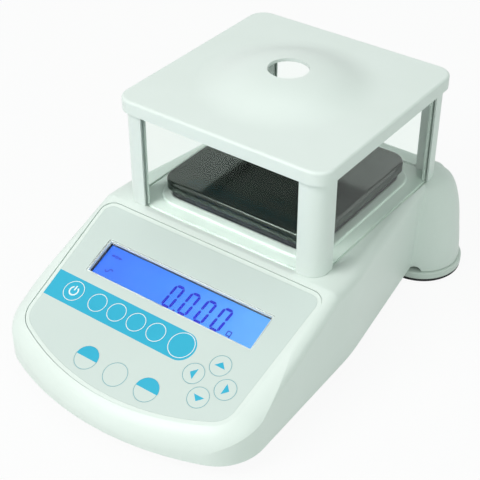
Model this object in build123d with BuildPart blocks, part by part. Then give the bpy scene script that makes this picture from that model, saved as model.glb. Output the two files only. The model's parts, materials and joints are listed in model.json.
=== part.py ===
from build123d import *
from math import cos, radians, sin, sqrt, tan
import os

os.makedirs("parts", exist_ok=True)

# Frame: millimetres, +Z up, origin on the table under the middle of the balance.
# The control panel faces -Y and +X is the user's right.

# Overall plan
overall_length = 349.0      # curved front to the back of the levelling wheels
body_width = 217.2
front_to_pan = 232.0        # curved front to the middle of the pan
front_y = -overall_length / 2
pan_y = front_y + front_to_pan

# Housing
wall = 2.5
platform_z = 85.0           # level top that carries the draft shield
skirt_z = 13.0              # lower edge of the housing above the table
front_arc_r = 220.0
front_corner_r = 37.0
nose_r = 20.0               # roll-over of the front edge
nose_flare = 7.0            # degrees at which that roll-over runs out along the sides
rear_corner_r = 10.0
bend_width = 211.2          # width where the sides start to draw in
waist_width = 177.0         # width at the towers and the rear wall
waist_ahead = 66.0          # where the sides start to draw in, ahead of the pan's middle
waist_bend_r = 180.0
rear_wall_behind_tower = 22.0
top_edge_r = 8.5
crease_r = 6.0
platform_ahead = 89.5       # pan's middle to the crease where the panel slope starts
panel_tilt = 21.5           # degrees
ring_width = 146.0          # low raised ring round the pan
ring_band = 8.0
ring_height = 1.6
ring_corner_r = 20.0
socket_boss_gap = 0.5       # bosses stop this far inside the outer surface

# Rear towers and levelling feet
wheel_r = 33.8
wheel_thickness = 6.0
sole_r = 33.4
sole_thickness = 2.5
tower_x = 80.0
tower_foot_r = 31.4         # tower's radius at its lower edge
tower_middle_r = 29.0
tower_shoulder_r = 23.8
tower_cap_r = 10.0          # flat at the top of a tower
tower_shoulder_drop = 14.5
tower_above_wheel = 0.5
stud_r = 5.0
stud_length = 34.0
insert_r = 8.0
insert_length = 14.0
thread_clearance = 0.05
tower_y = overall_length / 2 - wheel_r
tower_z = sole_thickness + wheel_thickness + tower_above_wheel
notch_r = 5.2               # finger notch in each tower's lower edge
notch_angle = 68.5          # degrees round the tower from straight sideways to straight ahead

# Base plate and front feet
base_thickness = 3.0
base_gap = 0.4              # clearance to the housing's inner face
base_recess = 0.5           # base sits this far above the housing's lower edge
base_z = skirt_z + base_recess
base_top = base_z + base_thickness
front_foot_r = 10.0
front_foot_x = 74.0
front_foot_y = -135.0
boss_r = 4.5
screw_r = 1.5
screw_clearance = 0.2
screw_head_r = 2.9
screw_head_height = 1.8

# Control panel
panel_recess = 1.0          # panel face below the housing's slope
panel_top_width = 200.4
panel_bottom_width = 187.5
panel_top_s = 19.8          # up the slope from the panel's datum
panel_bottom_s = -117.6
panel_arc_r = 197.0
panel_top_corner_r = 11.0
panel_bottom_corner_r = 20.0
panel_rim = 3.2
panel_seam = 0.35
panel_ledge = 4.0           # width of the housing's ledge that carries the panel
ledge_thickness = 2.4
panel_depth = 3.2
overlay_thickness = 0.6
datum_ahead = 112.0         # panel datum ahead of the pan's middle

# Display
window_length = 149.4
window_height = 30.3
window_s = -24.9
window_thickness = 1.0
window_ledge = 1.2
lcd_frame_thickness = 1.6
lcd_block_thickness = 3.2
board_depth = 8.6           # panel face to the display board's top
board_thickness = 1.6

# Keys
key_gap = 0.12
key_travel = 0.4
key_stem_r = 3.0
key_stem_length = 4.4
band_s = -58.8
band_pitch = 18.1
band_first_x = -48.1
band_key_r = 7.6
power_x = -71.1
power_r = 8.5
setup_x = 29.0
setup_r = 10.1
arrow_x = 63.0
arrow_s = -72.7
arrow_spread = 13.4
arrow_r = 8.0
lower_x = 0.4
lower_s = -98.3
lower_pitch = 27.1
lower_r = 9.3

# Weighing pan and what carries it
pan_width = 137.0
pan_corner_r = 14.0
pan_top_z = 102.0
pan_skirt = 8.0
pan_edge_r = 2.5
pan_sheet = 0.8
carrier_width = 130.0
carrier_corner_r = 11.0
carrier_above_platform = 1.5
carrier_deck_width = 122.0
buffer_height = 1.6
buffer_r = 5.0
buffer_pitch = 84.0
stem_r = 6.0
stem_clearance = 0.08
stem_seat = 5.0             # depth of the stem's end in the carrier
post_hole_r = 18.0          # hole in the platform for the stem
cell_length = 130.0
cell_width = 30.0
cell_height = 22.0
cell_gap = 8.0              # clearance under the load cell
cell_bore_r = 6.5
cell_bore_pitch = 22.0
cell_end = 34.0             # length of each clamped end

# Draft shield
lid_width = 180.0
lid_corner_r = 14.0
lid_top_z = 174.0           # flat border of the lid
lid_side = 10.6
lid_sheet = 2.5
lid_edge_r = 2.2
dome_r = 69.5
dome_rise = 12.0
lid_hole_r = 15.5
post_size = 18.5            # length of a post's two arms
post_outer = 87.0           # shield's middle to a post's outer face
post_wall = 6.5             # thickness of the arms
post_corner_r = 12.5
post_gap = 0.2
glass = 3.0
glass_plane = 84.0
glass_fit = 0.1
glass_in_post = 7.5
groove_depth = 1.4
peg_r = 2.5
peg_length = 2.2
peg_fit = 0.15

tilt = radians(panel_tilt)
crease_y = pan_y - platform_ahead
datum_y = pan_y - datum_ahead
datum_z = platform_z + (datum_y - crease_y) * tan(tilt)
slope = Plane(origin=(0, datum_y, datum_z), x_dir=(1, 0, 0), z_dir=(0, -sin(tilt), cos(tilt)))
panel = slope.offset(-panel_recess)
rear_y = tower_y + rear_wall_behind_tower


def save(name, part):
    part.label = name
    export_step(part, f"parts/{name}.step")


# Height of the housing's slope at a given y
def slope_z(y):
    return datum_z + (y - datum_y) * tan(tilt)


# Plan outline of the housing without its towers
def body_plan(inset):
    half, bend, waist = body_width / 2, bend_width / 2, waist_width / 2
    bend_y = pan_y - waist_ahead
    waist_y = tower_y - tower_foot_r
    side_y = front_y + front_arc_r - sqrt(front_arc_r**2 - half**2)
    with BuildSketch() as plan:
        with BuildLine():
            ThreePointArc((-half, side_y), (0, front_y), (half, side_y))
            Polyline((half, side_y), (bend, bend_y), (waist, waist_y), (waist, rear_y),
                     (-waist, rear_y), (-waist, waist_y), (-bend, bend_y), (-half, side_y))
        make_face()
        fillet(plan.vertices().group_by(Axis.Y)[0], front_corner_r)
        fillet([v for v in plan.vertices() if abs(v.Y - bend_y) < 0.01], waist_bend_r)
        fillet([v for v in plan.vertices() if abs(v.Y - rear_y) < 0.01], rear_corner_r)
        if inset:
            offset(amount=-inset)
    return plan.sketch


# Wedge that shares the housing's front and slope and flares past its sides;
# where the two meet it gives the front edge its wide roll-over
def nose_form(inset, foot_z):
    half = body_width / 2
    side_y = front_y + front_arc_r - sqrt(front_arc_r**2 - half**2)
    ahead_y, back_y = front_y - top_edge_r, rear_y + top_edge_r
    back = half + (back_y - side_y) * tan(radians(nose_flare))
    drop = inset / cos(tilt)
    with BuildPart() as nose:
        with BuildSketch(Plane.XY.offset(foot_z)) as plan:
            with BuildLine():
                ThreePointArc((-half, side_y), (0, front_y), (half, side_y))
                Polyline((half, side_y), (back, back_y), (-back, back_y), (-half, side_y))
            make_face()
            fillet(plan.vertices().group_by(Axis.Y)[0], front_corner_r)
            if inset:
                offset(amount=-inset)
        extrude(amount=slope_z(back_y))
        with BuildSketch(Plane.YZ):
            with BuildLine():
                Polyline((ahead_y, foot_z), (back_y, foot_z), (back_y, slope_z(back_y) - drop),
                         (ahead_y, slope_z(ahead_y) - drop), close=True)
            make_face()
        extrude(amount=2 * half, both=True, mode=Mode.INTERSECT)
        top = nose.faces().filter_by(lambda f: f.normal_at().Z > 0.5)
        fillet(top.edges().sort_by(Axis.Y)[:-1], nose_r - inset)
    return nose.part


# One tower as a solid of revolution, pulled in by inset
def tower_form(inset, foot_z):
    shoulder_z = platform_z - tower_shoulder_drop
    middle_z = (tower_z + shoulder_z) / 2
    with BuildPart() as tower:
        with BuildSketch(Plane.XZ.offset(-tower_y)):
            with BuildLine():
                Polyline((tower_x, platform_z - inset), (tower_x, foot_z),
                         (tower_x + tower_foot_r - inset, foot_z))
                Spline((tower_x + tower_foot_r - inset, foot_z),
                       (tower_x + tower_middle_r - inset, middle_z),
                       (tower_x + tower_shoulder_r - inset, shoulder_z),
                       (tower_x + tower_cap_r, platform_z - inset),
                       tangents=((0, 1), (-1, 0)))
                Line((tower_x + tower_cap_r, platform_z - inset), (tower_x, platform_z - inset))
            make_face()
        revolve(axis=Axis((tower_x, tower_y, 0), (0, 0, 1)))
        mirror(about=Plane.YZ)
    return tower.part


# Solid form of the housing, used for its outside and, pulled in, for its inside
def housing_form(inset, foot_z, tower_foot_z):
    top_z = platform_z - inset
    front_z = slope_z(front_y) - inset / cos(tilt)
    crease = crease_y + inset * tan(tilt / 2)
    edge_r = top_edge_r - inset
    with BuildPart() as form:
        with BuildSketch(Plane.XY.offset(foot_z)):
            add(body_plan(inset))
        extrude(amount=top_z - foot_z)
        with BuildSketch(Plane.YZ) as side:
            with BuildLine():
                Polyline((front_y, foot_z), (rear_y, foot_z), (rear_y, top_z), (crease, top_z),
                         (front_y, front_z), close=True)
            make_face()
            bend = [v for v in side.vertices() if abs(v.X - crease) < 0.01 and v.Y > foot_z + 1]
            fillet(bend, crease_r - inset)
        extrude(amount=body_width, both=True, mode=Mode.INTERSECT)
        tops = form.faces().filter_by(lambda f: f.normal_at().Z > 0.5)
        rim = tops.edges().filter_by(lambda e: not is_crease(e))
        fillet(rim, edge_r)
        add(nose_form(inset, foot_z), mode=Mode.INTERSECT)
        add(tower_form(inset, tower_foot_z))
    return form.part


# True for the straight cross edges of the crease, which join two top faces
def is_crease(edge):
    across = abs((edge @ 1 - edge @ 0).X) > body_width / 2
    return across and abs(edge.center().Y - crease_y) < 2 * crease_r


# Outline of the control panel on its slope, grown or pulled in by delta
def panel_outline(delta):
    top, low = panel_top_width / 2, panel_bottom_width / 2
    low_s = panel_bottom_s + panel_arc_r - sqrt(panel_arc_r**2 - low**2)
    with BuildSketch() as outline:
        with BuildLine():
            ThreePointArc((-low, low_s), (0, panel_bottom_s), (low, low_s))
            Polyline((low, low_s), (top, panel_top_s), (-top, panel_top_s), (-low, low_s))
        make_face()
        fillet(outline.vertices().group_by(Axis.Y)[-1], panel_top_corner_r)
        fillet(outline.vertices().group_by(Axis.Y)[0], panel_bottom_corner_r)
        if delta:
            offset(amount=delta)
    return outline.sketch


# Places that several pieces share
peg_place = post_outer - post_corner_r + (post_corner_r - post_wall / 2) * sqrt(0.5)
post_places = [(x, pan_y + y) for x in (-peg_place, peg_place) for y in (-peg_place, peg_place)]
pane_length = 2 * (post_outer - post_size + glass_in_post)
case_screws = [(-92, -98), (92, -98), (-92, -20), (92, -20), (-50, rear_y - 12), (50, rear_y - 12)]
tower_places = [(-tower_x, tower_y), (tower_x, tower_y)]
keys = {"key_power": (power_x, band_s, power_r), "key_setup": (setup_x, band_s, setup_r),
        "key_blank": (lower_x, lower_s - 0.9, lower_r)}
for i in range(4):
    keys[f"key_function_{i + 1}"] = (band_first_x + i * band_pitch, band_s, band_key_r)
for side, sign in (("left", -1), ("right", 1)):
    keys[f"key_tare_{side}"] = (lower_x + sign * lower_pitch, lower_s, lower_r)
    keys[f"key_arrow_{side}"] = (arrow_x + sign * arrow_spread, arrow_s, arrow_r)
for way, sign in (("down", -1), ("up", 1)):
    keys[f"key_arrow_{way}"] = (arrow_x, arrow_s + sign * arrow_spread, arrow_r)


# Upper housing: a moulded shell with the panel opening, shield grooves and rear sockets
jack_x, port_x, socket_z = -24.0, 18.0, 40.0
jack_hole_r = 5.6
port_length, port_height, port_corner_r = 20.0, 11.0, 3.0
level_y = pan_y + lid_width / 2 + 2.5
level_r = 5.4
level_depth = 6.0
level_fit = 0.1
boss_hole_depth = 14.0
slot_length, slot_width = pane_length + 2 * glass_fit, glass + 2 * glass_fit

with BuildPart() as fittings:
    with BuildSketch(Plane.XY.offset(base_top)):
        with Locations(case_screws):
            Circle(boss_r)
    extrude(amount=platform_z)
    with BuildSketch(panel.offset(-panel_depth)):
        add(panel_outline(panel_ledge))
    extrude(amount=-ledge_thickness)
    add(housing_form(socket_boss_gap, base_top, base_top), mode=Mode.INTERSECT)

with BuildPart() as upper_housing:
    add(housing_form(0, skirt_z, tower_z))
    with BuildSketch(Plane.XY.offset(platform_z)):
        with Locations((0, pan_y)):
            RectangleRounded(ring_width, ring_width, ring_corner_r)
            RectangleRounded(ring_width - 2 * ring_band, ring_width - 2 * ring_band,
                             ring_corner_r - ring_band, mode=Mode.SUBTRACT)
    extrude(amount=ring_height)
    crest = upper_housing.faces().filter_by(Plane.XY).sort_by(Axis.Z)[-1]
    fillet(crest.edges(), ring_height * 0.8)
    add(housing_form(wall, skirt_z, tower_z), mode=Mode.SUBTRACT)
    add(fittings.part)
    with BuildSketch(panel.offset(-panel_depth)):
        add(panel_outline(0))
    extrude(amount=panel_depth + 2 * panel_recess, mode=Mode.SUBTRACT)
    with BuildSketch(panel.offset(-panel_depth)):
        add(panel_outline(-panel_ledge))
    extrude(amount=-2 * ledge_thickness, mode=Mode.SUBTRACT)
    with BuildSketch(Plane.XY.offset(platform_z)):
        with Locations((0, pan_y)):
            Circle(post_hole_r)
        with Locations(post_places):
            Circle(peg_r + peg_fit)
    extrude(amount=-wall, mode=Mode.SUBTRACT)
    with BuildSketch(Plane.XY.offset(platform_z)):
        with Locations((0, pan_y - glass_plane), (0, pan_y + glass_plane)):
            Rectangle(slot_length, slot_width)
        with Locations((-glass_plane, pan_y), (glass_plane, pan_y)):
            Rectangle(slot_width, slot_length)
    extrude(amount=-groove_depth, mode=Mode.SUBTRACT)
    with BuildSketch(Plane.XY.offset(platform_z)):
        with Locations((0, level_y)):
            Circle(level_r + level_fit)
    extrude(amount=-level_depth, mode=Mode.SUBTRACT)
    with BuildSketch(Plane.XY.offset(base_top)):
        with Locations(case_screws):
            Circle(screw_r)
    extrude(amount=boss_hole_depth, mode=Mode.SUBTRACT)
    with BuildSketch(Plane.XZ.offset(-rear_y)):
        with Locations((jack_x, socket_z)):
            Circle(jack_hole_r)
        with Locations((port_x, socket_z)):
            RectangleRounded(port_length, port_height, port_corner_r)
    extrude(amount=wall, both=True, mode=Mode.SUBTRACT)
    for sign in (-1, 1):
        aim = (sign * cos(radians(notch_angle)), -sin(radians(notch_angle)), 0)
        with BuildSketch(Plane(origin=(sign * tower_x, tower_y, tower_z - 1), x_dir=(0, 0, 1), z_dir=aim)):
            Circle(notch_r)
        extrude(amount=wheel_r, mode=Mode.SUBTRACT)
save("upper_housing", upper_housing.part)


# Base plate: closes the housing and carries the feet, boards and load cell
board_x, board_y = 0.0, -42.0
board_length, board_width = 150.0, 56.0
board_screw_x, board_screw_y = board_length / 2 - 5, board_width / 2 - 5
pillar_r = 3.0
board_z = base_top + 6
board_places = [(board_x + x, board_y + y) for x in (-board_screw_x, board_screw_x)
                for y in (-board_screw_y, board_screw_y)]
cell_base_y = pan_y + cell_length / 2 - cell_end / 2
cell_free_y = pan_y - cell_length / 2 + cell_end / 2
cell_screws = [(x, cell_base_y + y) for x in (-9, 9) for y in (-10, 10)]
foot_places = [(-front_foot_x, front_foot_y), (front_foot_x, front_foot_y)]
foot_recess = 1.2
foot_fit = 0.2
board_screw_r = 1.3
thread_fit = 0.01           # screw threads are drawn this much under their holes
case_screw_length = 13.0
cell_screw_length = 16.0

with BuildPart() as base_plate:
    with BuildSketch(Plane.XY.offset(base_z)):
        add(body_plan(wall + base_gap))
        with Locations(tower_places):
            Circle(tower_foot_r - wall - 1.2)
    extrude(amount=base_thickness)
    with BuildSketch(Plane.XY.offset(base_top)):
        with Locations(tower_places):
            Circle(insert_r + 3)
        with Locations(board_places):
            Circle(pillar_r)
    extrude(amount=board_z - base_top)
    with BuildSketch(Plane.XY.offset(board_z)):
        with Locations(tower_places):
            Circle(insert_r + 3)
    extrude(amount=insert_length + base_z - board_z)
    with BuildSketch(Plane.XY.offset(base_z)):
        with Locations(tower_places):
            Circle(insert_r)
    extrude(amount=insert_length, mode=Mode.SUBTRACT)
    with BuildSketch(Plane.XY.offset(base_z)):
        with Locations(case_screws):
            Circle(screw_r + screw_clearance)
        with Locations(board_places):
            Circle(board_screw_r)
        with Locations(foot_places + cell_screws):
            Circle(screw_r + screw_clearance)
    extrude(amount=board_z, mode=Mode.SUBTRACT)
    with BuildSketch(Plane.XY.offset(base_z)):
        with Locations(case_screws + cell_screws):
            Circle(screw_head_r + screw_clearance)
    extrude(amount=screw_head_height, mode=Mode.SUBTRACT)
    with BuildSketch(Plane.XY.offset(base_z)):
        with Locations(foot_places):
            Circle(front_foot_r + foot_fit)
    extrude(amount=foot_recess, mode=Mode.SUBTRACT)
save("base_plate", base_plate.part)


# Screws of one size as a group of separate solids, heads down unless up is set
def screw_group(places, head_z, length, radius=screw_r - thread_fit, up=False):
    way = -1 if up else 1
    with BuildPart() as group:
        with BuildSketch(Plane.XY.offset(head_z)):
            with Locations(places):
                Circle(screw_head_r)
        extrude(amount=way * screw_head_height)
        with BuildSketch(Plane.XY.offset(head_z + way * screw_head_height)):
            with Locations(places):
                Circle(radius)
        extrude(amount=way * length)
    return group.part


save("case_screws", screw_group(case_screws, base_z, case_screw_length - screw_head_height))
save("load_cell_screws", screw_group(cell_screws, base_z, cell_screw_length - screw_head_height))

# Front feet: rubber pads screwed into the base plate
foot_bore_depth = 6.0       # deep bore that hides the screw's head
with BuildPart() as front_feet:
    with BuildSketch():
        with Locations(foot_places):
            Circle(front_foot_r)
    extrude(amount=base_z + foot_recess)
    chamfer(front_feet.faces().sort_by(Axis.Z)[:2].edges(), 1.0)
    with BuildSketch(Plane.XY):
        with Locations(foot_places):
            Circle(screw_head_r + 0.6)
    extrude(amount=foot_bore_depth, mode=Mode.SUBTRACT)
    with BuildSketch(Plane.XY):
        with Locations(foot_places):
            Circle(screw_r + screw_clearance)
    extrude(amount=base_top, mode=Mode.SUBTRACT)
save("front_feet", front_feet.part)
save("front_foot_screws", screw_group(foot_places, foot_bore_depth - screw_head_height,
                                      base_top - foot_bore_depth + base_thickness))


# Levelling feet: threaded insert, wheel on its stud, and a sole that the wheel turns on
hub_gap = 0.2
pin_r, pin_length = 4.0, 3.0
pin_gap = 0.3
insert_fit = 0.05
with BuildPart() as threaded_inserts:
    with BuildSketch(Plane.XY.offset(base_z)):
        with Locations(tower_places):
            RegularPolygon(insert_r - insert_fit, 6, rotation=30)
            Circle(stud_r + thread_clearance, mode=Mode.SUBTRACT)
    extrude(amount=insert_length)
save("threaded_inserts", threaded_inserts.part)


def levelling_foot(side, x):
    wheel_z = sole_thickness + hub_gap
    wheel_top = sole_thickness + wheel_thickness
    with BuildPart() as wheel:
        with BuildSketch(Plane.XY.offset(wheel_z)):
            with Locations((x, tower_y)):
                Circle(wheel_r)
        extrude(amount=wheel_top - wheel_z)
        fillet(wheel.edges().group_by(Axis.Z)[-1], 1.2)
        fillet(wheel.edges().group_by(Axis.Z)[0], 0.6)
        with BuildSketch(Plane.XY.offset(wheel_z)):
            with Locations((x, tower_y)):
                Circle(pin_r + stem_clearance)
        extrude(amount=pin_length - hub_gap + pin_gap, mode=Mode.SUBTRACT)
    save(f"{side}_foot_wheel", wheel.part)
    with BuildPart() as stud:
        with BuildSketch(Plane.XY.offset(wheel_top)):
            with Locations((x, tower_y)):
                Circle(stud_r)
        extrude(amount=stud_length)
        chamfer(stud.edges().group_by(Axis.Z)[-1], 0.8)
    save(f"{side}_foot_stud", stud.part)
    with BuildPart() as sole:
        with BuildSketch():
            with Locations((x, tower_y)):
                Circle(sole_r)
        extrude(amount=sole_thickness)
        chamfer(sole.edges().group_by(Axis.Z)[0], 0.6)
        with BuildSketch(Plane.XY.offset(sole_thickness)):
            with Locations((x, tower_y)):
                Circle(pin_r)
        extrude(amount=pin_length)
    save(f"{side}_foot_sole", sole.part)


levelling_foot("left", -tower_x)
levelling_foot("right", tower_x)


# Control panel: a plate in the housing's rebate, a printed overlay, window and keys
hole_edge = 0.3
well_gap = 0.2              # key wells go this much deeper than the keys travel
window_fit = 0.1
overlay_fit = 0.1
board_post_r = 3.2
board_hole_r = 1.1
board_hole_depth = 4.0
board_posts = [(-70, 4), (0, 4), (70, 4), (-62, -96), (14, -105), (64, -96)]
stem_holes = [(x, s) for x, s, r in keys.values()]
plate_face = -overlay_thickness

with BuildPart() as panel_plate:
    with BuildSketch(panel.offset(-panel_depth)):
        add(panel_outline(-panel_seam))
    extrude(amount=panel_depth)
    add(housing_form(0, skirt_z, tower_z), mode=Mode.INTERSECT)
    with BuildSketch(panel):
        add(panel_outline(-panel_rim))
    extrude(amount=plate_face, mode=Mode.SUBTRACT)
    for x, s, r in keys.values():
        with BuildSketch(panel.offset(plate_face)):
            with Locations((x, s)):
                Circle(r + hole_edge)
        extrude(amount=-key_travel - well_gap, mode=Mode.SUBTRACT)
    with BuildSketch(panel):
        with Locations(stem_holes):
            Circle(key_stem_r + hole_edge)
    extrude(amount=-panel_depth, mode=Mode.SUBTRACT)
    with BuildSketch(panel):
        with Locations((0, window_s)):
            Rectangle(window_length + 2 * window_fit, window_height + 2 * window_fit)
    extrude(amount=-window_thickness, mode=Mode.SUBTRACT)
    with BuildSketch(panel):
        with Locations((0, window_s)):
            Rectangle(window_length - 2 * window_ledge, window_height - 2 * window_ledge)
    extrude(amount=-panel_depth, mode=Mode.SUBTRACT)
    with BuildSketch(panel.offset(-panel_depth)):
        with Locations(board_posts):
            Circle(board_post_r)
    extrude(amount=panel_depth - board_depth)
    with BuildSketch(panel.offset(-board_depth)):
        with Locations(board_posts):
            Circle(board_hole_r)
    extrude(amount=board_hole_depth, mode=Mode.SUBTRACT)
save("panel_plate", panel_plate.part)

with BuildPart() as keypad_overlay:
    with BuildSketch(panel):
        add(panel_outline(-panel_rim - overlay_fit))
        with Locations((0, window_s)):
            Rectangle(window_length + 2 * window_fit, window_height + 2 * window_fit, mode=Mode.SUBTRACT)
        for x, s, r in keys.values():
            with Locations((x, s)):
                Circle(r + key_gap, mode=Mode.SUBTRACT)
    extrude(amount=-overlay_thickness)
save("keypad_overlay", keypad_overlay.part)

for name, (x, s, r) in keys.items():
    with BuildPart() as key:
        with BuildSketch(panel):
            with Locations((x, s)):
                Circle(r)
        extrude(amount=-overlay_thickness)
        with BuildSketch(panel.offset(-overlay_thickness)):
            with Locations((x, s)):
                Circle(key_stem_r)
        extrude(amount=-key_stem_length)
    save(name, key.part)

with BuildPart() as lcd_window:
    with BuildSketch(panel):
        with Locations((0, window_s)):
            Rectangle(window_length, window_height)
    extrude(amount=-window_thickness)
save("lcd_window", lcd_window.part)

frame_z = -panel_depth - 0.1
frame_length, frame_height = window_length + 8, window_height + 7
with BuildPart() as lcd_frame:
    with BuildSketch(panel.offset(frame_z)):
        with Locations((0, window_s)):
            Rectangle(frame_length, frame_height)
            Rectangle(window_length - 4.0, window_height - 3.4, mode=Mode.SUBTRACT)
    extrude(amount=-lcd_frame_thickness)
save("lcd_frame", lcd_frame.part)

block_z = frame_z - lcd_frame_thickness
with BuildPart() as lcd_module:
    with BuildSketch(panel.offset(block_z)):
        with Locations((0, window_s)):
            Rectangle(frame_length - 1, frame_height - 1)
    extrude(amount=-lcd_block_thickness)
save("lcd_module", lcd_module.part)

# Display board behind the panel, with one tact switch under each key
switch_top = -overlay_thickness - key_stem_length - key_travel - 0.1
switch_side, plunger_r, plunger_height = 6.0, 1.75, 0.8
display_board_length, display_board_width, display_board_s = 150.0, 119.0, -49.5
with BuildPart() as display_board:
    with BuildSketch(panel.offset(-board_depth)):
        with Locations((0, display_board_s)):
            Rectangle(display_board_length, display_board_width)
        with Locations(board_posts):
            Circle(1.7, mode=Mode.SUBTRACT)
    extrude(amount=-board_thickness)
save("display_board", display_board.part)

with BuildPart() as tact_switches:
    with BuildSketch(panel.offset(-board_depth)):
        with Locations(stem_holes):
            Rectangle(switch_side, switch_side)
    extrude(amount=board_depth + switch_top - plunger_height)
    with BuildSketch(panel.offset(switch_top - plunger_height)):
        with Locations(stem_holes):
            Circle(plunger_r)
    extrude(amount=plunger_height)
save("tact_switches", tact_switches.part)

with BuildPart() as display_board_screws:
    with BuildSketch(panel.offset(-board_depth - board_thickness)):
        with Locations(board_posts):
            Circle(2.4)
    extrude(amount=-1.5)
    with BuildSketch(panel.offset(-board_depth - board_thickness)):
        with Locations(board_posts):
            Circle(1.09)
    extrude(amount=board_thickness + 3)
save("display_board_screws", display_board_screws.part)


# Main board on the base plate's pillars
with BuildPart() as main_board:
    with BuildSketch(Plane.XY.offset(board_z)):
        with Locations((board_x, board_y)):
            Rectangle(board_length, board_width)
        with Locations(board_places):
            Circle(screw_r + screw_clearance, mode=Mode.SUBTRACT)
    extrude(amount=board_thickness)
save("main_board", main_board.part)
save("main_board_screws", screw_group(board_places, board_z + board_thickness + screw_head_height,
                                      board_thickness + 4, board_screw_r - thread_fit, up=True))

# Load cell with its mounting block, and the frame with the stem that carries the pan
cell_z = base_top + cell_gap
cell_top = cell_z + cell_height
frame_thickness = 6.0
frame_y = (pan_y + cell_free_y) / 2
carrier_z = platform_z + carrier_above_platform
with BuildPart() as load_cell_block:
    with BuildSketch(Plane.XY.offset(base_top)):
        with Locations((0, cell_base_y)):
            Rectangle(cell_width, cell_end)
        with Locations(cell_screws):
            Circle(screw_r + screw_clearance, mode=Mode.SUBTRACT)
    extrude(amount=cell_gap)
save("load_cell_block", load_cell_block.part)

with BuildPart() as load_cell:
    with BuildSketch(Plane.XY.offset(cell_z)):
        with Locations((0, pan_y)):
            Rectangle(cell_width, cell_length)
    extrude(amount=cell_height)
    with BuildSketch(Plane.YZ):
        middle = cell_z + cell_height / 2
        with Locations((pan_y - cell_bore_pitch / 2, middle), (pan_y + cell_bore_pitch / 2, middle)):
            Circle(cell_bore_r)
        with Locations((pan_y, middle)):
            Rectangle(cell_bore_pitch, 3)
    extrude(amount=cell_width, both=True, mode=Mode.SUBTRACT)
    with BuildSketch(Plane.XY.offset(cell_z)):
        with Locations(cell_screws):
            Circle(screw_r)
    extrude(amount=10, mode=Mode.SUBTRACT)
save("load_cell", load_cell.part)

with BuildPart() as load_frame:
    with BuildSketch(Plane.XY.offset(cell_top)):
        with Locations((0, cell_free_y)):
            Rectangle(cell_width, cell_end)
    extrude(amount=2)
    with BuildSketch(Plane.XY.offset(cell_top + 2)):
        with Locations((0, frame_y)):
            RectangleRounded(cell_width, pan_y - cell_free_y + cell_end, 6)
    extrude(amount=frame_thickness)
    with BuildSketch(Plane.XY.offset(cell_top + 2 + frame_thickness)):
        with Locations((0, pan_y)):
            Circle(stem_r + 4)
    extrude(amount=carrier_z - 6 - (cell_top + 2 + frame_thickness))
    with BuildSketch(Plane.XY.offset(carrier_z - 6)):
        with Locations((0, pan_y)):
            Circle(stem_r)
    extrude(amount=6 + stem_seat)
    chamfer(load_frame.edges().group_by(Axis.Z)[-1], 0.8)
save("load_frame", load_frame.part)

# Pan carrier: black tray on the stem, with rubber buffers under the pan
skirt_low = pan_top_z - pan_skirt
deck_z = pan_top_z - pan_sheet - buffer_height
with BuildPart() as pan_carrier:
    with BuildSketch(Plane.XY.offset(carrier_z)):
        with Locations((0, pan_y)):
            RectangleRounded(carrier_width, carrier_width, carrier_corner_r)
    extrude(amount=skirt_low + 0.5 - carrier_z)
    with BuildSketch(Plane.XY.offset(skirt_low + 0.5)):
        with Locations((0, pan_y)):
            RectangleRounded(carrier_deck_width, carrier_deck_width, carrier_corner_r - 3)
    extrude(amount=deck_z - skirt_low - 0.5)
    with BuildSketch(Plane.XY.offset(carrier_z)):
        with Locations((0, pan_y)):
            RectangleRounded(carrier_deck_width - 5, carrier_deck_width - 5, carrier_corner_r - 5)
            Circle(stem_r + 6, mode=Mode.SUBTRACT)
            Rectangle(carrier_width, 3, mode=Mode.SUBTRACT)
            Rectangle(3, carrier_width, mode=Mode.SUBTRACT)
    extrude(amount=deck_z - carrier_z - 3, mode=Mode.SUBTRACT)
    with BuildSketch(Plane.XY.offset(carrier_z)):
        with Locations((0, pan_y)):
            Circle(stem_r + stem_clearance)
    extrude(amount=stem_seat + 0.2, mode=Mode.SUBTRACT)
save("pan_carrier", pan_carrier.part)

with BuildPart() as pan_buffers:
    with BuildSketch(Plane.XY.offset(deck_z)):
        with Locations((0, pan_y)):
            with GridLocations(buffer_pitch, buffer_pitch, 2, 2):
                Circle(buffer_r)
    extrude(amount=buffer_height)
save("pan_buffers", pan_buffers.part)

# Weighing pan: drawn stainless sheet with a rounded edge
with BuildPart() as weighing_pan:
    with BuildSketch(Plane.XY.offset(skirt_low)):
        with Locations((0, pan_y)):
            RectangleRounded(pan_width, pan_width, pan_corner_r)
    extrude(amount=pan_skirt)
    fillet(weighing_pan.faces().sort_by(Axis.Z)[-1].edges(), pan_edge_r)
    offset(amount=-pan_sheet, openings=weighing_pan.faces().sort_by(Axis.Z)[0])
save("weighing_pan", weighing_pan.part)


# Draft shield: four posts, four panes and the domed lid
post_z = platform_z + post_gap
post_top = lid_top_z - lid_sheet - post_gap
pane_top = post_top - 0.5
groove_width = glass + 2 * glass_fit
groove_length = glass_in_post + glass_fit
arm_middle = post_outer - post_wall / 2


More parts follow.
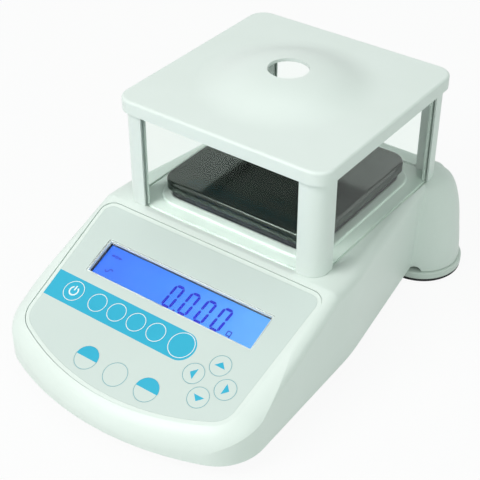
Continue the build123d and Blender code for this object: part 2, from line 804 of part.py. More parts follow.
# Section of a post in plan: a round-cornered angle with a glass groove in each arm
def post_section(sx, sy):
    inner_r = post_corner_r - post_wall
    with BuildSketch() as section:
        with Locations((post_outer - post_size / 2, post_outer - post_size / 2)):
            Rectangle(post_size, post_size)
        with Locations((post_outer - post_wall - post_size / 2, post_outer - post_wall - post_size / 2)):
            Rectangle(post_size, post_size, mode=Mode.SUBTRACT)
        fillet(section.vertices().sort_by_distance((post_outer, post_outer))[0], post_corner_r)
        bend = (post_outer - post_wall, post_outer - post_wall)
        fillet(section.vertices().sort_by_distance(bend)[0], inner_r)
        groove_middle = post_outer - post_size + groove_length / 2
        with Locations((groove_middle, glass_plane)):
            Rectangle(groove_length, groove_width, mode=Mode.SUBTRACT)
        with Locations((glass_plane, groove_middle)):
            Rectangle(groove_width, groove_length, mode=Mode.SUBTRACT)
    section_plan = section.sketch
    if sx < 0:
        section_plan = section_plan.mirror(Plane.YZ)
    if sy < 0:
        section_plan = section_plan.mirror(Plane.XZ)
    return section_plan.moved(Location((0, pan_y, 0)))


for side, sx in (("left", -1), ("right", 1)):
    for end, sy in (("front", -1), ("rear", 1)):
        with BuildPart() as post:
            with BuildSketch(Plane.XY.offset(post_z)):
                add(post_section(sx, sy))
            extrude(amount=post_top - post_z)
            with BuildSketch(Plane.XY.offset(post_z)):
                with Locations((sx * peg_place, pan_y + sy * peg_place)):
                    Circle(peg_r)
            extrude(amount=-peg_length)
        save(f"{end}_{side}_post", post.part)

pane_z = platform_z - groove_depth + post_gap
panes = {"front_glass": (0, -1), "rear_glass": (0, 1), "left_glass": (-1, 0), "right_glass": (1, 0)}
for name, (sx, sy) in panes.items():
    with BuildPart() as pane:
        with BuildSketch(Plane.XY.offset(pane_z)):
            with Locations((sx * glass_plane, pan_y + sy * glass_plane)):
                Rectangle(pane_length if sx == 0 else glass, pane_length if sy == 0 else glass)
        extrude(amount=pane_top - pane_z)
    save(name, pane.part)

with BuildPart() as shield_lid:
    with BuildSketch(Plane.XY.offset(lid_top_z - lid_side)):
        with Locations((0, pan_y)):
            RectangleRounded(lid_width, lid_width, lid_corner_r)
    extrude(amount=lid_side)
    fillet(shield_lid.faces().sort_by(Axis.Z)[-1].edges(), lid_edge_r)
    with BuildSketch(Plane.XY.offset(lid_top_z - lid_side)):
        with Locations((0, pan_y)):
            inner = lid_width - 2 * lid_sheet
            RectangleRounded(inner, inner, lid_corner_r - lid_sheet)
    extrude(amount=lid_side - lid_sheet, mode=Mode.SUBTRACT)
    with BuildSketch(Plane.XY.offset(lid_top_z)):
        with Locations((0, pan_y)):
            Circle(dome_r)
    extrude(amount=-lid_side, mode=Mode.SUBTRACT)
    with BuildSketch(Plane.YZ):
        with BuildLine():
            low, high = lid_top_z - lid_sheet, lid_top_z
            Spline((pan_y + dome_r, high), (pan_y + 0.55 * dome_r, high + 0.66 * dome_rise),
                   (pan_y + lid_hole_r, high + dome_rise), tangents=((-1, 0), (-1, 0.06)))
            Line((pan_y + lid_hole_r, high + dome_rise), (pan_y + lid_hole_r, low + dome_rise))
            Spline((pan_y + lid_hole_r, low + dome_rise), (pan_y + 0.55 * dome_r, low + 0.66 * dome_rise),
                   (pan_y + dome_r, low), tangents=((1, -0.06), (1, 0)))
            Line((pan_y + dome_r, low), (pan_y + dome_r, high))
        make_face()
    revolve(axis=Axis((0, pan_y, 0), (0, 0, 1)))
save("shield_lid", shield_lid.part)


# Spirit level in the platform, behind the shield
with BuildPart() as level_body:
    with BuildSketch(Plane.XY.offset(platform_z)):
        with Locations((0, level_y)):
            Circle(level_r)
    extrude(amount=-level_depth)
    with BuildSketch(Plane.XY.offset(platform_z)):
        with Locations((0, level_y)):
            Circle(level_r - 1)
    extrude(amount=-level_depth + 1, mode=Mode.SUBTRACT)
save("level_body", level_body.part)

with BuildPart() as level_vial:
    with BuildSketch(Plane.XY.offset(platform_z)):
        with Locations((0, level_y)):
            Circle(level_r - 1)
    extrude(amount=-level_depth + 1)
save("level_vial", level_vial.part)

# Rear sockets: barrel inlet for the adapter, and the data port
jack_r = jack_hole_r - 0.15
plug_r = 2.8
with BuildPart() as dc_inlet:
    with BuildSketch(Plane.XZ.offset(-rear_y)):
        with Locations((jack_x, socket_z)):
            Circle(jack_r)
    extrude(amount=wall)
    with BuildSketch(Plane.XZ.offset(-rear_y + wall)):
        with Locations((jack_x, socket_z)):
            Rectangle(14, 14)
    extrude(amount=11)
    with BuildSketch(Plane.XZ.offset(-rear_y)):
        with Locations((jack_x, socket_z)):
            Circle(plug_r)
            Circle(1.0, mode=Mode.SUBTRACT)
    extrude(amount=9.5, mode=Mode.SUBTRACT)
save("dc_inlet", dc_inlet.part)

with BuildPart() as data_port:
    with BuildSketch(Plane.XZ.offset(-rear_y)):
        with Locations((port_x, socket_z)):
            RectangleRounded(port_length - 0.4, port_height - 0.4, port_corner_r - 0.2)
            RectangleRounded(port_length - 2.4, port_height - 2.4, port_corner_r - 1.2, mode=Mode.SUBTRACT)
    extrude(amount=wall)
    with BuildSketch(Plane.XZ.offset(-rear_y + wall)):
        with Locations((port_x, socket_z)):
            Rectangle(31, 14)
    extrude(amount=9)
save("data_port", data_port.part)
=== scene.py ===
import json
import math

import bmesh
import bpy
from mathutils import Matrix, Vector


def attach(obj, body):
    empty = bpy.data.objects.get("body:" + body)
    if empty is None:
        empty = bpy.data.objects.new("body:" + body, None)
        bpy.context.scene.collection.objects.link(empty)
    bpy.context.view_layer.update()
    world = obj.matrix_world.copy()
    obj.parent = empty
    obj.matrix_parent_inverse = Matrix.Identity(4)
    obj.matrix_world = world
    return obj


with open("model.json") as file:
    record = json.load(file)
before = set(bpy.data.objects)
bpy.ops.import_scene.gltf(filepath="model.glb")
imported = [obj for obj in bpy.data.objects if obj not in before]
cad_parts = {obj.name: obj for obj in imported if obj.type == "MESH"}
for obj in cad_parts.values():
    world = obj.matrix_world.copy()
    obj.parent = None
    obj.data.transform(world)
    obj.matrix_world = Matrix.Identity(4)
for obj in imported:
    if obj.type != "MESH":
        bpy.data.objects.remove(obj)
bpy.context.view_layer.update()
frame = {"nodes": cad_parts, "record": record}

scene = bpy.context.scene
nodes = frame["nodes"]
mm = 0.001
print("frame loaded with", len(nodes), "nodes")


# camera, at the photograph's angle

cameraSettings = {"place": (0.4118, -0.5615, 0.5793), "tilt": 53.60, "turn": 36.34, "lens": 86.24,
                  "sensor": 36.0, "near": 0.01, "far": 50.0}


def placeCamera(s):
    data = bpy.data.cameras.new("balanceCamera")
    data.lens = s["lens"]
    data.sensor_width = s["sensor"]
    data.clip_start, data.clip_end = s["near"], s["far"]
    camera = bpy.data.objects.new("balanceCamera", data)
    camera.location = s["place"]
    camera.rotation_euler = (math.radians(s["tilt"]), 0.0, math.radians(s["turn"]))
    scene.collection.objects.link(camera)
    scene.camera = camera


placeCamera(cameraSettings)
print("camera placed")


# material building blocks

noiseLow, noiseHigh = 0.35, 0.65    # most values of a noise texture lie between these


def newMaterial(name):
    material = bpy.data.materials.new(name)
    material.use_nodes = True
    tree = material.node_tree
    return material, tree, tree.nodes["Principled BSDF"]


def objectPoint(tree, stretch=(1.0, 1.0, 1.0)):
    coords = tree.nodes.new("ShaderNodeTexCoord")
    mapping = tree.nodes.new("ShaderNodeMapping")
    mapping.inputs["Scale"].default_value = stretch
    tree.links.new(coords.outputs["Object"], mapping.inputs["Vector"])
    return mapping.outputs["Vector"]


def noise(tree, point, scale, detail=2.0):
    texture = tree.nodes.new("ShaderNodeTexNoise")
    texture.inputs["Scale"].default_value = scale
    texture.inputs["Detail"].default_value = detail
    tree.links.new(point, texture.inputs["Vector"])
    return texture.outputs["Fac"]


def remap(tree, value, low, high, fromLow=noiseLow, fromHigh=noiseHigh):
    node = tree.nodes.new("ShaderNodeMapRange")
    node.inputs["From Min"].default_value = fromLow
    node.inputs["From Max"].default_value = fromHigh
    node.inputs["To Min"].default_value = low
    node.inputs["To Max"].default_value = high
    tree.links.new(value, node.inputs["Value"])
    return node.outputs["Result"]


def ramp(tree, value, stops):
    node = tree.nodes.new("ShaderNodeValToRGB")
    elements = node.color_ramp.elements
    while len(elements) < len(stops):
        elements.new(0.5)
    for element, (place, color) in zip(elements, stops):
        element.position = place
        element.color = (*color, 1.0)
    tree.links.new(value, node.inputs["Fac"])
    return node.outputs["Color"]


def addBump(tree, shader, height, strength, distance):
    bump = tree.nodes.new("ShaderNodeBump")
    bump.inputs["Strength"].default_value = strength
    bump.inputs["Distance"].default_value = distance
    tree.links.new(height, bump.inputs["Height"])
    tree.links.new(bump.outputs["Normal"], shader.inputs["Normal"])


# What a finish has unless its own look says otherwise
plainLook = {"stretch": (1.0, 1.0, 1.0), "cloudScale": 14.0, "cloudDetail": 3.0, "grainScale": 900.0,
             "grainDetail": 2.0, "bump": 0.15, "bumpDepth": 0.00005, "metallic": 0.0, "specular": 0.5}


def surface(name, ownLook):
    look = {**plainLook, **ownLook}
    material, tree, shader = newMaterial(name)
    point = objectPoint(tree, look["stretch"])
    cloud = noise(tree, point, look["cloudScale"], look["cloudDetail"])
    color = ramp(tree, cloud, [(noiseLow, look["tintA"]), (noiseHigh, look["tintB"])])
    tree.links.new(color, shader.inputs["Base Color"])
    grain = noise(tree, point, look["grainScale"], look["grainDetail"])
    low, high = look["roughness"]
    tree.links.new(remap(tree, grain, low, high), shader.inputs["Roughness"])
    addBump(tree, shader, grain, look["bump"], look["bumpDepth"])
    shader.inputs["Metallic"].default_value = look["metallic"]
    shader.inputs["Specular IOR Level"].default_value = look["specular"]
    return material


waveSettings = {"scale": 20.0, "detail": 1.0, "low": 0.3, "high": 0.7, "bump": 0.05, "bumpDepth": 0.00002}


# Clear material that lets lamps through, so that what stands behind it stays lit
def clearSurface(name, look):
    material, tree, shader = newMaterial(name)
    point = objectPoint(tree)
    waves = noise(tree, point, waveSettings["scale"], waveSettings["detail"])
    color = ramp(tree, waves, [(waveSettings["low"], look["tintA"]), (waveSettings["high"], look["tintB"])])
    tree.links.new(color, shader.inputs["Base Color"])
    addBump(tree, shader, waves, waveSettings["bump"], waveSettings["bumpDepth"])
    shader.inputs["Transmission Weight"].default_value = 1.0
    shader.inputs["Roughness"].default_value = look["roughness"]
    shader.inputs["IOR"].default_value = look["ior"]
    path = tree.nodes.new("ShaderNodeLightPath")
    through = tree.nodes.new("ShaderNodeBsdfTransparent")
    through.inputs["Color"].default_value = (*look["lampTint"], 1.0)
    mix = tree.nodes.new("ShaderNodeMixShader")
    tree.links.new(path.outputs["Is Shadow Ray"], mix.inputs["Fac"])
    tree.links.new(shader.outputs["BSDF"], mix.inputs[1])
    tree.links.new(through.outputs["BSDF"], mix.inputs[2])
    tree.links.new(mix.outputs["Shader"], tree.nodes["Material Output"].inputs["Surface"])
    return material


# Backlit display: its blue runs from deep at the left to pale at the right
displaySettings = {
    "body": (0.015, 0.06, 0.30), "leftBlue": (0.002, 0.150, 0.88), "midBlue": (0.015, 0.25, 0.90),
    "rightBlue": (0.12, 0.53, 0.97), "midPlace": 0.45, "glow": 0.62, "left": -0.072, "right": 0.072,
    "hazeScale": 60.0, "haze": 0.06, "roughness": 0.35,
}


def displaySurface(name, s):
    material, tree, shader = newMaterial(name)
    point = objectPoint(tree)
    split = tree.nodes.new("ShaderNodeSeparateXYZ")
    tree.links.new(point, split.inputs["Vector"])
    across = remap(tree, split.outputs["X"], 0.0, 1.0, s["left"], s["right"])
    haze = remap(tree, noise(tree, point, s["hazeScale"]), -s["haze"], s["haze"])
    place = tree.nodes.new("ShaderNodeMath")
    place.operation = "ADD"
    tree.links.new(across, place.inputs[0])
    tree.links.new(haze, place.inputs[1])
    color = ramp(tree, place.outputs["Value"],
                 [(0.0, s["leftBlue"]), (s["midPlace"], s["midBlue"]), (1.0, s["rightBlue"])])
    shader.inputs["Base Color"].default_value = (*s["body"], 1.0)
    tree.links.new(color, shader.inputs["Emission Color"])
    shader.inputs["Emission Strength"].default_value = s["glow"]
    shader.inputs["Roughness"].default_value = s["roughness"]
    return material


# finishes of the material slots

whitePlastic = {"tintA": (0.785, 0.850, 0.808), "tintB": (0.810, 0.872, 0.835), "roughness": (0.34, 0.46),
                "grainScale": 1400.0, "bump": 0.10, "specular": 0.45}

finishLooks = {
    "housing_plastic": whitePlastic,
    "shield_plastic": {**whitePlastic, "tintA": (0.795, 0.855, 0.820), "tintB": (0.820, 0.878, 0.848)},
    "base_plastic": {**whitePlastic, "tintA": (0.66, 0.70, 0.67), "tintB": (0.69, 0.73, 0.70),
                     "roughness": (0.48, 0.60), "bump": 0.25},
    "wheel_plastic": {**whitePlastic, "tintA": (0.70, 0.77, 0.72), "tintB": (0.73, 0.79, 0.75)},
    "overlay_grey": {"tintA": (0.645, 0.720, 0.690), "tintB": (0.660, 0.735, 0.705),
                     "roughness": (0.42, 0.50), "grainScale": 2600.0, "bump": 0.12, "specular": 0.4},
    "key_cyan": {"tintA": (0.022, 0.43, 0.64), "tintB": (0.028, 0.45, 0.66),
                 "roughness": (0.42, 0.50), "grainScale": 2600.0, "bump": 0.12, "specular": 0.4},
    "key_grey": {"tintA": (0.650, 0.725, 0.695), "tintB": (0.665, 0.740, 0.710),
                 "roughness": (0.42, 0.50), "grainScale": 2600.0, "bump": 0.12, "specular": 0.4},
    "frame_black": {"tintA": (0.012, 0.013, 0.015), "tintB": (0.02, 0.02, 0.024),
                    "roughness": (0.35, 0.5), "bump": 0.2},
    "board_green": {"tintA": (0.02, 0.13, 0.05), "tintB": (0.03, 0.17, 0.07),
                    "roughness": (0.3, 0.45), "cloudScale": 180.0, "bump": 0.3},
    "switch_black": {"tintA": (0.02, 0.02, 0.02), "tintB": (0.035, 0.035, 0.035), "roughness": (0.4, 0.55)},
    "screw_steel": {"tintA": (0.55, 0.55, 0.54), "tintB": (0.62, 0.62, 0.61), "roughness": (0.25, 0.4),
                    "metallic": 1.0, "grainScale": 2200.0},
    "insert_brass": {"tintA": (0.72, 0.52, 0.22), "tintB": (0.80, 0.60, 0.28), "roughness": (0.28, 0.42),
                     "metallic": 1.0},
    "black_rubber": {"tintA": (0.022, 0.022, 0.024), "tintB": (0.035, 0.035, 0.037),
                     "roughness": (0.72, 0.88), "grainScale": 1800.0, "bump": 0.4, "specular": 0.3},
    "cell_aluminium": {"tintA": (0.66, 0.67, 0.68), "tintB": (0.72, 0.73, 0.74), "roughness": (0.28, 0.42),
                       "metallic": 1.0, "stretch": (1.0, 12.0, 12.0)},
    "carrier_black": {"tintA": (0.010, 0.011, 0.013), "tintB": (0.018, 0.018, 0.021),
                      "roughness": (0.38, 0.52), "bump": 0.3},
    # Pan: its near-black greenish base colour is a painted reflection of dark surroundings, not the pale
    # colour the steel has; the stretched grain is its brushing
    "pan_steel": {"tintA": (0.062, 0.073, 0.066), "tintB": (0.078, 0.089, 0.081), "roughness": (0.07, 0.12),
                  "metallic": 1.0, "stretch": (1.0, 30.0, 30.0), "grainScale": 260.0, "bump": 0.05,
                  "bumpDepth": 0.00002},
}
clearLooks = {
    "window_clear": {"tintA": (0.97, 0.98, 0.985), "tintB": (0.985, 0.99, 0.99), "roughness": 0.02,
                     "ior": 1.20, "lampTint": (0.95, 0.96, 0.96)},
    "pane_glass": {"tintA": (0.94, 0.980, 0.960), "tintB": (0.955, 0.988, 0.968), "roughness": 0.0,
                   "ior": 1.12, "lampTint": (0.96, 0.985, 0.97)},
    "vial_clear": {"tintA": (0.55, 0.85, 0.25), "tintB": (0.62, 0.90, 0.30), "roughness": 0.03,
                   "ior": 1.40, "lampTint": (0.70, 0.90, 0.45)},
}

finishes = {slot: surface(slot, look) for slot, look in finishLooks.items()}
finishes.update({slot: clearSurface(slot, look) for slot, look in clearLooks.items()})
finishes["display_blue"] = displaySurface("display_blue", displaySettings)

for part in frame["record"]["subparts"]:
    node = nodes[part["node"]]
    node.data.materials.clear()
    node.data.materials.append(finishes[part["material_slot"]])
print("finishes given to the frame's nodes:", len(finishes))


# printed film of the control panel

panelSettings = {
    "origin": (0.0, -54.1335, 75.2066), "tilt": 21.5, "printHeight": 0.03, "halfHeight": 0.045,
    "bandTop": -48.1, "bandLow": -70.6, "bandEndX": 29.3, "leftTopX": -92.85, "leftLowX": -91.65,
    "bandArcSteps": 36, "keyClearance": 0.12, "keySegments": 64,
    "ringWidth": 0.55, "thinRingWidth": 0.38, "ringInset": 0.06, "ringSegments": 72, "cutSlack": 0.0001,
}
keySettings = {
    "bandS": -58.8, "bandFirstX": -48.1, "bandPitch": 18.1, "bandR": 7.6, "bandCount": 4,
    "powerX": -71.1, "powerR": 8.5, "setupX": 29.0, "setupR": 10.1,
    "arrowX": 63.0, "arrowS": -72.7, "arrowSpread": 13.4, "arrowR": 8.0,
    "lowerX": 0.4, "lowerS": -98.3, "lowerPitch": 27.1, "lowerR": 9.3, "blankDrop": 0.9,
}


# Middle and radius of each key on the panel, in millimetres
def placeKeys(k):
    places = {"key_power": (k["powerX"], k["bandS"], k["powerR"]),
              "key_setup": (k["setupX"], k["bandS"], k["setupR"])}
    for i in range(k["bandCount"]):
        places["key_function_" + str(i + 1)] = (k["bandFirstX"] + i * k["bandPitch"], k["bandS"], k["bandR"])
    places["key_blank"] = (k["lowerX"], k["lowerS"] - k["blankDrop"], k["lowerR"])
    for side, way in (("left", -1), ("right", 1)):
        places["key_tare_" + side] = (k["lowerX"] + way * k["lowerPitch"], k["lowerS"], k["lowerR"])
        places["key_arrow_" + side] = (k["arrowX"] + way * k["arrowSpread"], k["arrowS"], k["arrowR"])
    for side, way in (("down", -1), ("up", 1)):
        places["key_arrow_" + side] = (k["arrowX"], k["arrowS"] + way * k["arrowSpread"], k["arrowR"])
    return places


keyPlaces = placeKeys(keySettings)
bandKeys = ("key_power", "key_setup", "key_function_1", "key_function_2", "key_function_3", "key_function_4")
greyKeys = ("key_tare_left", "key_tare_right", "key_blank", "key_arrow_left", "key_arrow_right",
            "key_arrow_down", "key_arrow_up")
panelPlane = (Matrix.Translation(Vector(panelSettings["origin"]) * mm)
              @ Matrix.Rotation(math.radians(panelSettings["tilt"]), 4, "X"))


# Turns flat faces, drawn in millimetres on the panel, into a thin piece at a height over it
def layPrint(name, bm, body, slot, height, thickness):
    bmesh.ops.recalc_face_normals(bm, faces=bm.faces)
    grown = bmesh.ops.extrude_face_region(bm, geom=bm.faces[:])
    raised = [g for g in grown["geom"] if isinstance(g, bmesh.types.BMVert)]
    bmesh.ops.translate(bm, vec=(0.0, 0.0, thickness), verts=raised)
    bmesh.ops.translate(bm, vec=(0.0, 0.0, height), verts=bm.verts)
    bmesh.ops.scale(bm, vec=(mm, mm, mm), verts=bm.verts)
    bmesh.ops.transform(bm, matrix=panelPlane, verts=bm.verts)
    finishPiece(name, bm, body, slot)


# Makes a drawn shape a piece with its finish, moving with its body
def finishPiece(name, bm, body, slot):
    bmesh.ops.recalc_face_normals(bm, faces=bm.faces)
    mesh = bpy.data.meshes.new(name)
    bm.to_mesh(mesh)
    bm.free()
    mesh.materials.append(finishes[slot])
    piece = bpy.data.objects.new(name, mesh)
    scene.collection.objects.link(piece)
    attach(piece, body)


def circleEdges(bm, x, s, radius, segments):
    place = Matrix.Translation((x, s, 0.0))
    made = bmesh.ops.create_circle(bm, cap_ends=False, radius=radius, segments=segments, matrix=place)
    return list({e for v in made["verts"] for e in v.link_edges})


def addRing(bm, x, s, outer, width, segments):
    edges = circleEdges(bm, x, s, outer, segments) + circleEdges(bm, x, s, outer - width, segments)
    bmesh.ops.bridge_loops(bm, edges=edges)


def addDisc(bm, x, s, radius, segments):
    place = Matrix.Translation((x, s, 0.0))
    bmesh.ops.create_circle(bm, cap_ends=True, radius=radius, segments=segments, matrix=place)


def addOutline(bm, points):
    bm.faces.new([bm.verts.new((x, s, 0.0)) for x, s in points])


# Cyan band: round at its right end, open where its keys move
def cyanBand(p):
    bm = bmesh.new()
    middle = (p["bandTop"] + p["bandLow"]) / 2
    start = bm.verts.new((p["bandEndX"], p["bandLow"], 0.0))
    arc = bmesh.ops.spin(bm, geom=[start], cent=(p["bandEndX"], middle, 0.0), axis=(0.0, 0.0, 1.0),
                         angle=math.pi, steps=p["bandArcSteps"], use_merge=False)
    last = arc["geom_last"][0]
    leftTop = bm.verts.new((p["leftTopX"], p["bandTop"], 0.0))
    leftLow = bm.verts.new((p["leftLowX"], p["bandLow"], 0.0))
    for a, b in ((last, leftTop), (leftTop, leftLow), (leftLow, start)):
        bm.edges.new((a, b))
    for name in bandKeys:
        x, s, r = keyPlaces[name]
        circleEdges(bm, x, s, r + p["keyClearance"], p["keySegments"])
    bmesh.ops.triangle_fill(bm, use_beauty=False, use_dissolve=False, edges=bm.edges)
    layPrint("cyan_band", bm, "housing", "key_cyan", 0.0, p["printHeight"])


finishes["print_white"] = surface("print_white", {
    "tintA": (0.82, 0.90, 0.92), "tintB": (0.86, 0.93, 0.95), "roughness": (0.42, 0.50),
    "grainScale": 2600.0, "specular": 0.4})
finishes["print_ring"] = surface("print_ring", {
    "tintA": (0.17, 0.44, 0.50), "tintB": (0.20, 0.47, 0.53), "roughness": (0.42, 0.50),
    "grainScale": 2600.0, "specular": 0.4})

cyanBand(panelSettings)


def keyRing(name, width, slot):
    x, s, r = keyPlaces[name]
    bm = bmesh.new()
    addRing(bm, x, s, r - panelSettings["ringInset"], width, panelSettings["ringSegments"])
    layPrint(name + "_ring", bm, name + "_body", slot, 0.0, panelSettings["printHeight"])


for keyName in bandKeys:
    keyRing(keyName, panelSettings["ringWidth"], "print_white")
for keyName in greyKeys:
    keyRing(keyName, panelSettings["thinRingWidth"], "print_ring")

powerIcon = {"radius": 3.5, "stroke": 1.15, "openDegrees": 64.0, "barLow": 0.5, "barTop": 4.5, "steps": 40}


# Power sign: a ring open at its top, with an upright bar
def powerSign(p):
    x, s, _ = keyPlaces["key_power"]
    bm = bmesh.new()
    first = math.radians(90.0 + p["openDegrees"] / 2)
    sweep = math.radians(360.0 - p["openDegrees"])
    ends = [bm.verts.new((x + r * math.cos(first), s + r * math.sin(first), 0.0))
            for r in (p["radius"] - p["stroke"] / 2, p["radius"] + p["stroke"] / 2)]
    edge = bm.edges.new(ends)
    bmesh.ops.spin(bm, geom=[*ends, edge], cent=(x, s, 0.0), axis=(0.0, 0.0, 1.0), angle=sweep,
                   steps=p["steps"], use_merge=False)
    half = p["stroke"] / 2
    addOutline(bm, [(x - half, s + p["barLow"]), (x + half, s + p["barLow"]),
                    (x + half, s + p["barTop"]), (x - half, s + p["barTop"])])
    layPrint("power_sign", bm, "key_power_body", "print_white", 0.0, panelSettings["printHeight"])


powerSign(powerIcon)


# Upper half of a lower key, printed cyan
def halfDisc(name):
    x, s, r = keyPlaces[name]
    bm = bmesh.new()
    addDisc(bm, x, s, r - panelSettings["ringInset"], panelSettings["ringSegments"])
    bmesh.ops.bisect_plane(bm, geom=bm.verts[:] + bm.edges[:] + bm.faces[:], dist=panelSettings["cutSlack"],
                           plane_co=(x, s, 0.0), plane_no=(0.0, -1.0, 0.0), clear_outer=True)
    layPrint(name + "_half", bm, name + "_body", "key_cyan", 0.0, panelSettings["halfHeight"])


halfDisc("key_tare_left")
halfDisc("key_tare_right")

arrowSign = {"apex": 3.1, "foot": -1.25, "half": 4.3}


# Three-cornered mark of an arrow key, drawn pointing up and then turned
def arrowMark(way, turn):
    name = "key_arrow_" + way
    x, s, _ = keyPlaces[name]
    bm = bmesh.new()
    addOutline(bm, [(-arrowSign["half"], arrowSign["foot"]), (arrowSign["half"], arrowSign["foot"]),
                    (0.0, arrowSign["apex"])])
    turned = Matrix.Rotation(math.radians(turn), 3, "Z")
    bmesh.ops.rotate(bm, cent=(0.0, 0.0, 0.0), matrix=turned, verts=bm.verts)
    bmesh.ops.translate(bm, vec=(x, s, 0.0), verts=bm.verts)
    layPrint(name + "_mark", bm, name + "_body", "key_cyan", 0.0, panelSettings["printHeight"])


for way, turn in (("up", 0.0), ("left", 90.0), ("down", 180.0), ("right", 270.0)):
    arrowMark(way, turn)
print("panel printed")


# display: slanted seven-part figures, unit sign and two small signs

figureSettings = {
    "face": -4.9, "lift": 0.02, "thickness": 0.05, "left": -8.2, "low": -37.6, "pitch": 14.3, "wide": 8.9,
    "tall": 20.3, "stroke": 2.15, "gap": 0.22, "slant": 0.075, "count": 4,
    "pointSize": 1.8, "pointInset": 1.1, "pointDrop": 0.3,
}
finishes["figure_blue"] = surface("figure_blue", {
    "tintA": (0.004, 0.006, 0.42), "tintB": (0.006, 0.01, 0.50), "roughness": (0.35, 0.45),
    "grainScale": 2600.0, "specular": 0.3})


# A bar between two points with pointed ends, as in a seven-part figure
def addBar(bm, a, b, stroke, gap):
    start, end = Vector(a), Vector(b)
    along = (end - start).normalized()
    side = Vector((-along.y, along.x)) * stroke / 2
    start, end = start + along * gap, end - along * gap
    inner = along * stroke / 2
    points = [start, start + inner - side, end - inner - side, end, end - inner + side, start + inner + side]
    addOutline(bm, [(p.x, p.y) for p in points])


def zeroFigure(bm, left, f):
    half = f["stroke"] / 2
    x0, x1 = left + half, left + f["wide"] - half
    low, top = f["low"] + half, f["low"] + f["tall"] - half
    middle = (low + top) / 2
    for a, b in (((x0, low), (x1, low)), ((x0, top), (x1, top)), ((x0, low), (x0, middle)),
                 ((x0, middle), (x0, top)), ((x1, low), (x1, middle)), ((x1, middle), (x1, top))):
        addBar(bm, a, b, f["stroke"], f["gap"])


def displayFigures(f):
    bm = bmesh.new()
    for i in range(f["count"]):
        zeroFigure(bm, f["left"] + i * f["pitch"], f)
    for v in bm.verts:
        v.co.x += (v.co.y - f["low"]) * f["slant"]
    x1, y0 = f["left"] + f["pitch"] - f["pointInset"], f["low"] - f["pointDrop"]
    x0, y1 = x1 - f["pointSize"], y0 + f["pointSize"]
    addOutline(bm, [(x0, y0), (x1, y0), (x1, y1), (x0, y1)])
    layPrint("display_figures", bm, "housing", "figure_blue", f["face"] + f["lift"], f["thickness"])


displayFigures(figureSettings)

unitSign = {"left": 49.6, "low": -36.0, "wide": 3.3, "tall": 3.4, "drop": 1.7, "stroke": 0.75}


# Unit letter: a small square loop with a tail under its right side
def unitMark(f, u):
    bm = bmesh.new()
    x0, x1 = u["left"], u["left"] + u["wide"]
    y0, y1 = u["low"], u["low"] + u["tall"]
    tail = y0 - u["drop"]
    for a, b in (((x0, y0), (x1, y0)), ((x0, y1), (x1, y1)), ((x0, y0), (x0, y1)),
                 ((x1, tail), (x1, y1)), ((x0, tail), (x1, tail))):
        addBar(bm, a, b, u["stroke"], -u["stroke"] / 2)
    layPrint("unit_sign", bm, "housing", "figure_blue", f["face"] + f["lift"], f["thickness"])


unitMark(figureSettings, unitSign)

zeroSign = {"x": -62.9, "s": -18.8, "ring": 1.3, "stroke": 0.7, "segments": 32, "spacing": 0.5, "reach": 4.9,
            "head": 1.5, "tail": 0.8, "tailStart": 0.9}


# Zero sign: a small ring between two arrows
def zeroMark(f, z):
    bm = bmesh.new()
    addRing(bm, z["x"], z["s"], z["ring"], z["stroke"], z["segments"])
    for way in (-1, 1):
        tip = z["x"] + way * (z["ring"] + z["spacing"])
        tail = z["x"] + way * z["reach"]
        addOutline(bm, [(tip, z["s"]), (tip + way * z["head"], z["s"] + z["head"]),
                        (tip + way * z["head"], z["s"] - z["head"])])
        addBar(bm, (tip + way * z["head"] * z["tailStart"], z["s"]), (tail, z["s"]), z["tail"], 0.0)
    layPrint("zero_sign", bm, "housing", "figure_blue", f["face"] + f["lift"], f["thickness"])


zeroMark(figureSettings, zeroSign)

steadySign = {"x": -61.2, "s": -31.0, "radius": 1.55, "stroke": 0.75, "steps": 16}


# Steady sign: a short wave of two half rings
def steadyMark(f, w):
    bm = bmesh.new()
    for way, first in ((-1, 180.0), (1, 0.0)):
        x = w["x"] + way * w["radius"]
        a = math.radians(first)
        ends = [bm.verts.new((x + r * math.cos(a), w["s"] + r * math.sin(a), 0.0))
                for r in (w["radius"] - w["stroke"] / 2, w["radius"] + w["stroke"] / 2)]
        edge = bm.edges.new(ends)
        bmesh.ops.spin(bm, geom=[*ends, edge], cent=(x, w["s"], 0.0), axis=(0.0, 0.0, 1.0),
                       angle=math.pi, steps=w["steps"], use_merge=False)
    layPrint("steady_sign", bm, "housing", "figure_blue", f["face"] + f["lift"], f["thickness"])


steadyMark(figureSettings, steadySign)
print("display drawn")


# floor, light and surroundings

# 1 for rays from the camera, from gloss and through glass, until a matt face has scattered them
def seenRays(tree):
    path = tree.nodes.new("ShaderNodeLightPath")
    total = path.outputs["Is Camera Ray"]
    for name in ("Is Glossy Ray", "Is Transmission Ray"):
        add = tree.nodes.new("ShaderNodeMath")
        add.operation = "MAXIMUM"
        tree.links.new(total, add.inputs[0])
        tree.links.new(path.outputs[name], add.inputs[1])
        total = add.outputs["Value"]
    unscattered = tree.nodes.new("ShaderNodeMath")
    unscattered.operation = "LESS_THAN"
    unscattered.inputs[1].default_value = 0.5    # true until the first scatter
    tree.links.new(path.outputs["Diffuse Depth"], unscattered.inputs[0])
    both = tree.nodes.new("ShaderNodeMath")
    both.operation = "MULTIPLY"
    tree.links.new(total, both.inputs[0])
    tree.links.new(unscattered.outputs["Value"], both.inputs[1])
    return both.outputs["Value"]


floorSettings = {"size": 16.0, "whiteShare": 0.93, "tint": (0.72, 0.74, 0.73), "roughness": 0.9}


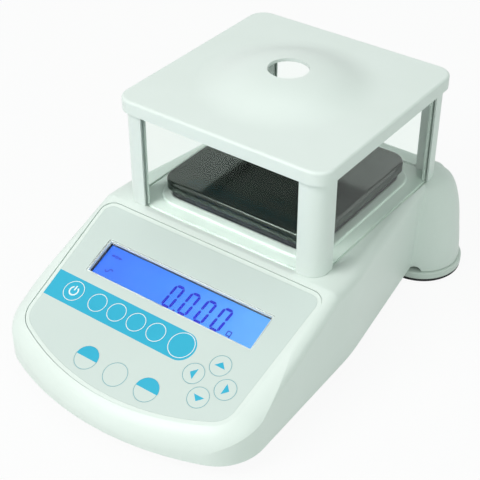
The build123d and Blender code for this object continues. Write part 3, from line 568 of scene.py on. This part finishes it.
# Pale floor that looks nearly white to the camera and in reflections, and keeps the shadow
def layFloor(s):
    bm = bmesh.new()
    bmesh.ops.create_grid(bm, x_segments=2, y_segments=2, size=s["size"] / 2)
    mesh = bpy.data.meshes.new("studioFloor")
    bm.to_mesh(mesh)
    bm.free()
    floor = bpy.data.objects.new("studioFloor", mesh)
    scene.collection.objects.link(floor)
    material, tree, shader = newMaterial("studioFloor")
    shader.inputs["Base Color"].default_value = (*s["tint"], 1.0)
    shader.inputs["Roughness"].default_value = s["roughness"]
    shader.inputs["Specular IOR Level"].default_value = 0.0
    white = tree.nodes.new("ShaderNodeEmission")
    white.inputs["Strength"].default_value = 1.0
    seen = seenRays(tree)
    share = tree.nodes.new("ShaderNodeMath")
    share.operation = "MULTIPLY"
    share.inputs[1].default_value = s["whiteShare"]
    tree.links.new(seen, share.inputs[0])
    mix = tree.nodes.new("ShaderNodeMixShader")
    tree.links.new(share.outputs["Value"], mix.inputs["Fac"])
    tree.links.new(shader.outputs["BSDF"], mix.inputs[1])
    tree.links.new(white.outputs["Emission"], mix.inputs[2])
    tree.links.new(mix.outputs["Shader"], tree.nodes["Material Output"].inputs["Surface"])
    mesh.materials.append(material)


roomSettings = {"ambient": (0.86, 1.0, 0.94), "strength": 0.39}


def lightRoom(s):
    world = bpy.data.worlds.new("studioRoom")
    world.use_nodes = True
    tree = world.node_tree
    ambient = tree.nodes["Background"]
    ambient.inputs["Color"].default_value = (*s["ambient"], 1.0)
    ambient.inputs["Strength"].default_value = s["strength"]
    white = tree.nodes.new("ShaderNodeBackground")
    white.inputs["Color"].default_value = (1.0, 1.0, 1.0, 1.0)
    white.inputs["Strength"].default_value = 1.0
    mix = tree.nodes.new("ShaderNodeMixShader")
    tree.links.new(seenRays(tree), mix.inputs["Fac"])
    tree.links.new(ambient.outputs["Background"], mix.inputs[1])
    tree.links.new(white.outputs["Background"], mix.inputs[2])
    tree.links.new(mix.outputs["Shader"], tree.nodes["World Output"].inputs["Surface"])
    scene.world = world


lampSettings = {
    "keyLamp": {"place": (-0.55, -1.35, 1.55), "aim": (0.0, 0.0, 0.08), "size": 1.1, "power": 24.3,
                "tint": (1.0, 0.985, 0.99)},
    "topLamp": {"place": (-0.15, 0.25, 1.9), "aim": (0.0, 0.0, 0.1), "size": 1.6, "power": 3.0,
                "tint": (1.0, 0.99, 0.99)},
    "fillLamp": {"place": (1.3, -0.6, 0.9), "aim": (0.0, 0.0, 0.08), "size": 1.2, "power": 5.5,
                 "tint": (0.92, 1.0, 0.94)},
}


def hangLamp(name, s):
    data = bpy.data.lights.new(name, "AREA")
    data.shape = "DISK"
    data.size = s["size"]
    data.energy = s["power"]
    data.color = s["tint"]
    lamp = bpy.data.objects.new(name, data)
    lamp.location = s["place"]
    aim = Vector(s["aim"]) - Vector(s["place"])
    lamp.rotation_euler = aim.to_track_quat("-Z", "Y").to_euler()
    scene.collection.objects.link(lamp)


layFloor(floorSettings)
lightRoom(roomSettings)
for lampName, lampLook in lampSettings.items():
    hangLamp(lampName, lampLook)
scene.view_settings.view_transform = "Standard"
print("studio lit")
